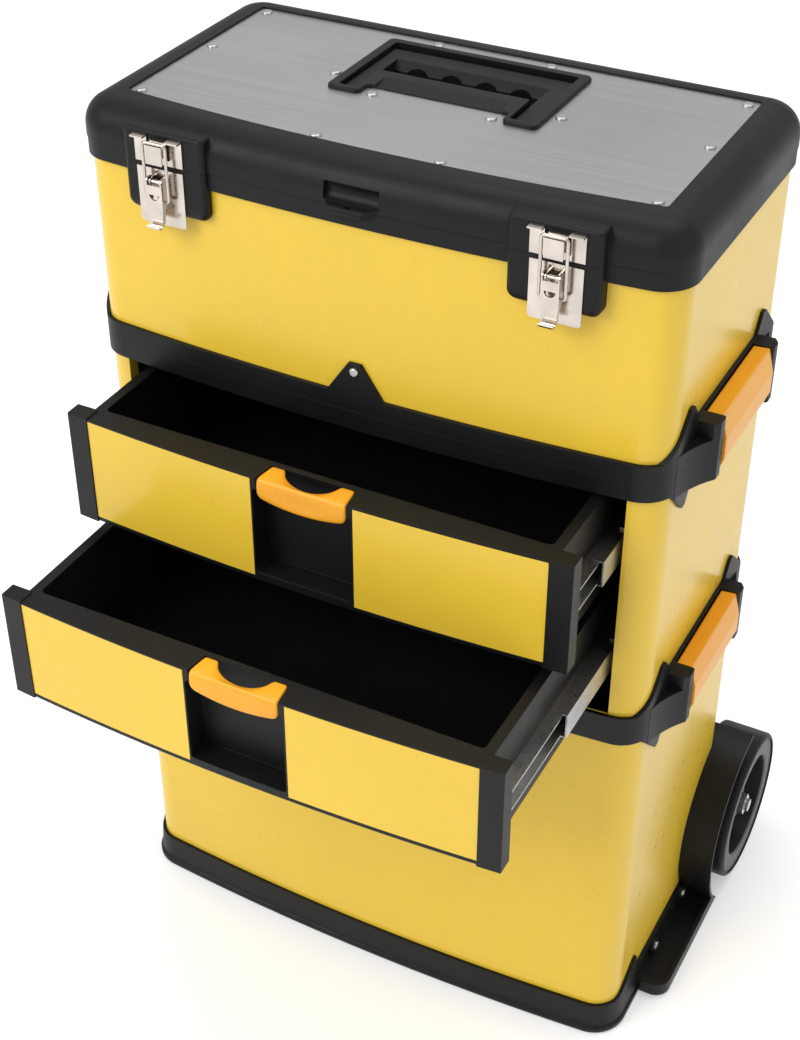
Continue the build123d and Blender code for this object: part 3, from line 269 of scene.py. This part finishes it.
def wheel_finish(name, side):
    """Black wheel with a grey ring on its outer face."""
    finish = Finish(name)
    low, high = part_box(f"wheel_{side}")
    centre = (low + high) / 2
    x, y, z = finish.axes()
    forward, upward = y - centre.y, z - centre.z
    radius = (forward * forward + upward * upward).root()
    outer = high.x if side == "right" else -low.x
    outward = x if side == "right" else x * -1.0
    ring = (radius > RING_RADIUS) * (outward > outer - RING_DEPTH)
    speck = finish.noise(400.0)
    grey = finish.blend(finish.fade(speck), RING_GREY_LOW, RING_GREY_HIGH)
    body = finish.blend(ring, WHEEL_BLACK, grey)
    normal = finish.bump(finish.grains(1300.0), 0.00008, 0.5, finish.rounded(RUBBER_EDGE))
    rough = finish.fade(speck, to_low=0.38, to_high=0.5)
    return finish.shade(colour=body, roughness=rough, specular=0.22, normal=normal)


def rubber(name, colour, rough):
    """Soft tread with a faint bloom and fine scuffs."""
    finish = Finish(name)
    cloud = finish.noise(30.0, detail=4.0)
    scuff = finish.noise(600.0)
    body = finish.blend(finish.fade(cloud, 0.35, 0.7), colour, scaled(colour, 1.5))
    normal = finish.bump(scuff, 0.0001, 0.35, finish.rounded(RUBBER_EDGE))
    roughness = finish.fade(cloud, to_low=rough - 0.06, to_high=rough + 0.1)
    return finish.shade(colour=body, roughness=roughness, specular=0.2, normal=normal)


FINISHES = {
    "black_plastic": moulded("black_plastic_grained", BLACK),
    "yellow_paint": painted("yellow_powder_coat", YELLOW),
    "orange_plastic": moulded("orange_plastic_satin", ORANGE, low=0.28, high=0.38, grain=0.4,
                              edge=0.0014, sheen=0.4),
    "plate_steel": brushed("lid_plate_brushed", PLATE_STEEL),
    "nickel": plated("latch_nickel", NICKEL, rough=0.17),
    "zinc": plated("zinc_plated", ZINC, rough=0.3),
    "tread": rubber("tread_rubber", TREAD_BLACK, rough=0.5),
    "grip_rubber": rubber("grip_rubber", WHEEL_BLACK, rough=0.6),
}


def dress_nodes():
    """Gives every CAD node the finish that the record names for it."""
    for entry in frame["record"]["subparts"]:
        node = frame["nodes"][entry["node"]]
        slot = entry["material_slot"]
        if slot == "wheel_plastic":
            side = entry["node"].split("_")[1]
            material = wheel_finish(f"wheel_{side}_plastic", side)
        else:
            material = FINISHES[slot]
        node.data.materials.clear()
        node.data.materials.append(material)


def skinned(name, rows, slot):
    """Smooth closed piece from rings of points, capped at both ends."""
    builder = bmesh.new()
    grid = [[builder.verts.new(point) for point in row] for row in rows]
    count = len(grid[0])
    for near, far in zip(grid, grid[1:]):
        for index in range(count):
            after = (index + 1) % count
            builder.faces.new((near[index], near[after], far[after], far[index]))
    builder.faces.new(list(reversed(grid[0])))
    builder.faces.new(grid[-1])
    bmesh.ops.recalc_face_normals(builder, faces=builder.faces)
    mesh = bpy.data.meshes.new(name)
    builder.to_mesh(mesh)
    builder.free()
    for face in mesh.polygons:
        face.use_smooth = True
    piece = bpy.data.objects.new(name, mesh)
    bpy.context.scene.collection.objects.link(piece)
    smooth = piece.modifiers.new("smooth", "SUBSURF")
    smooth.levels = smooth.render_levels = 1
    mesh.materials.append(FINISHES[slot])
    return piece


# Orange drawer pulls. The notch is half an ellipse in the back edge
PULL_STATIONS = 30
PULL_NOTCH_HALF_WIDTH = 0.024
PULL_NOTCH_DEPTH = 0.012
PULL_SAG = 0.0042
PULL_BOW = 0.0004
PULL_BELLY = 0.0048
PULL_CORNER_START = 0.88
PULL_CORNER_RISE = 0.0035

# Width of the front edge as a share of the back edge
PULL_FRONT_SHARE = 0.925

# Points round a pull: share of the depth and millimetres behind the front, share of the height
# down from the top and millimetres up, share of the sag, and millimetres of dish in the middle
PULL_SECTION = (
    (1.0, 0.0, 0.0, -3.0, 1.0, 0.0),
    (1.0, 0.0, 0.0, -0.4, 1.0, 0.0),
    (1.0, -1.2, 0.0, 0.0, 0.9, 0.0),
    (0.45, 0.0, 0.0, 0.0, 0.45, 0.0),
    (0.0, 2.8, 0.0, -0.1, 0.0, 0.0),
    (0.0, 0.6, 0.0, -1.3, 0.0, 0.0),
    (0.0, 0.3, 0.5, 0.0, 0.0, 1.6),
    (0.0, 0.2, 1.0, 1.6, 0.0, 0.0),
    (0.0, 1.4, 1.0, 0.0, 0.0, 0.0),
    (0.0, 3.0, 1.0, 1.2, 0.0, 0.0),
    (0.0, 4.0, 0.0, -6.5, 0.0, 0.0),
    (0.6, 0.0, 0.0, -4.0, 0.6, 0.0),
)


def drawer_pull(level):
    """Bowed ribbon with a dished middle, round lower corners and a deep notch behind."""
    low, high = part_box(f"{level}_drawer_pull")
    rows = []
    for index in range(PULL_STATIONS + 1):
        share = 2 * index / PULL_STATIONS - 1
        x = share * high.x
        middle = max(0.0, 1 - (x / PULL_NOTCH_HALF_WIDTH) ** 2)
        front = low.y + PULL_BOW * share * share
        back = high.y - PULL_NOTCH_DEPTH * math.sqrt(middle)
        corner = max(0.0, (abs(share) - PULL_CORNER_START) / (1 - PULL_CORNER_START))
        floor = low.z + PULL_BELLY * share * share + PULL_CORNER_RISE * corner * corner
        row = []
        for deep, behind, down, up, sagged, dished in PULL_SECTION:
            y = front + deep * (back - front) + (behind + dished * middle) / 1000
            z = high.z - down * (high.z - floor) + up / 1000 - sagged * PULL_SAG * middle
            reach = (high.y - y) / (high.y - low.y)
            width = PULL_FRONT_SHARE + (1 - PULL_FRONT_SHARE) * reach
            row.append(Vector((x * width, y, z)))
        rows.append(row)
    piece = skinned(f"{level}_pull_ribbon", rows, "orange_plastic")
    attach(piece, f"{level}_drawer")
    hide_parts(f"{level}_drawer_pull")


# Studio
FLOOR_REACH = 14.0
FLOOR_DROP = 0.0005
FLOOR_LOW = (0.86, 0.86, 0.86)
FLOOR_HIGH = (0.88, 0.88, 0.88)
FLOOR_LIFT = 0.35
WHITE = (1, 1, 1, 1)
WORLD_STRENGTH = 0.62
LAMP_TARGET = (0.0, -0.02, 0.4)

# Name, place, size and watts of each soft box
SOFT_BOXES = (
    ("key_box", (-1.3, -2.3, 2.5), (1.6, 1.6), 46),
    ("side_box", (2.6, -0.6, 1.7), (1.4, 1.8), 6),
    ("top_box", (0.1, 0.5, 2.9), (2.2, 1.4), 22),
)


def white_ground():
    """Pale floor that looks white away from the object and keeps its shadow."""
    mesh = bpy.data.meshes.new("studio_floor")
    corners = [(-FLOOR_REACH, -FLOOR_REACH, 0), (FLOOR_REACH, -FLOOR_REACH, 0),
               (FLOOR_REACH, FLOOR_REACH, 0), (-FLOOR_REACH, FLOOR_REACH, 0)]
    mesh.from_pydata(corners, [], [(0, 1, 2, 3)])
    floor = bpy.data.objects.new("studio_floor", mesh)
    bpy.context.scene.collection.objects.link(floor)
    floor.location.z = -FLOOR_DROP
    finish = Finish("studio_floor_paper")
    tone = finish.blend(finish.fade(finish.noise(40.0, detail=2.0)), FLOOR_LOW, FLOOR_HIGH)
    values = {"Base Color": tone, "Roughness": 0.9, "Specular IOR Level": 0.1}
    paper = finish.node("ShaderNodeBsdfPrincipled", values=values)
    glow = finish.node("ShaderNodeEmission", values={"Color": WHITE, "Strength": FLOOR_LIFT})
    both = finish.node("ShaderNodeAddShader", values={0: paper, 1: glow})
    rays = finish.node("ShaderNodeLightPath")
    seen = rays.output("Is Camera Ray") + rays.output("Is Glossy Ray")
    seen = seen + rays.output("Is Transmission Ray") > 0.5
    finish.end(finish.node("ShaderNodeMixShader", values={0: seen, 1: paper, 2: both}))
    mesh.materials.append(finish.material)


def studio_world():
    world = bpy.data.worlds.new("studio")
    bpy.context.scene.world = world
    world.use_nodes = True
    tree = world.node_tree
    tree.nodes.clear()
    output = tree.nodes.new("ShaderNodeOutputWorld")
    soft = tree.nodes.new("ShaderNodeBackground")
    soft.inputs["Color"].default_value = WHITE
    soft.inputs["Strength"].default_value = WORLD_STRENGTH
    tree.links.new(soft.outputs[0], output.inputs["Surface"])


def soft_box(name, place, size, power):
    lamp = bpy.data.lights.new(name, "AREA")
    lamp.shape = "RECTANGLE"
    lamp.size, lamp.size_y = size
    lamp.energy = power
    holder = bpy.data.objects.new(name, lamp)
    holder.location = place
    direction = Vector(LAMP_TARGET) - Vector(place)
    holder.rotation_euler = direction.to_track_quat("-Z", "Y").to_euler()
    bpy.context.scene.collection.objects.link(holder)


def photo_camera():
    """Camera solved from the box's own edges in the photograph."""
    azimuth = math.radians(CAMERA_AZIMUTH)
    elevation = math.radians(CAMERA_ELEVATION)
    roll = math.radians(CAMERA_ROLL)
    level = math.cos(elevation)
    towards = Vector((-math.sin(azimuth) * level, math.cos(azimuth) * level, -math.sin(elevation)))
    right = Vector((math.cos(azimuth), math.sin(azimuth), 0))
    up = right.cross(towards)
    tilted_right = right * math.cos(roll) + up * math.sin(roll)
    tilted_up = up * math.cos(roll) - right * math.sin(roll)
    turn = Matrix((tilted_right, tilted_up, -towards)).transposed().to_4x4()
    lens = bpy.data.cameras.new("photo_camera")
    lens.sensor_fit = "HORIZONTAL"
    lens.sensor_width = SENSOR_WIDTH
    lens.lens = FOCAL_PIXELS * SENSOR_WIDTH / PHOTO_WIDTH
    lens.clip_start = NEAR_CLIP
    camera = bpy.data.objects.new("photo_camera", lens)
    camera.matrix_world = Matrix.Translation(CAMERA_PLACE) @ turn
    bpy.context.scene.collection.objects.link(camera)
    bpy.context.scene.camera = camera


photo_camera()
white_ground()
studio_world()
for soft_box_row in SOFT_BOXES:
    soft_box(*soft_box_row)
dress_nodes()
for level in ("upper", "lower"):
    drawer_pull(level)

bpy.context.scene.view_settings.view_transform = "Standard"

bpy.context.view_layer.update()
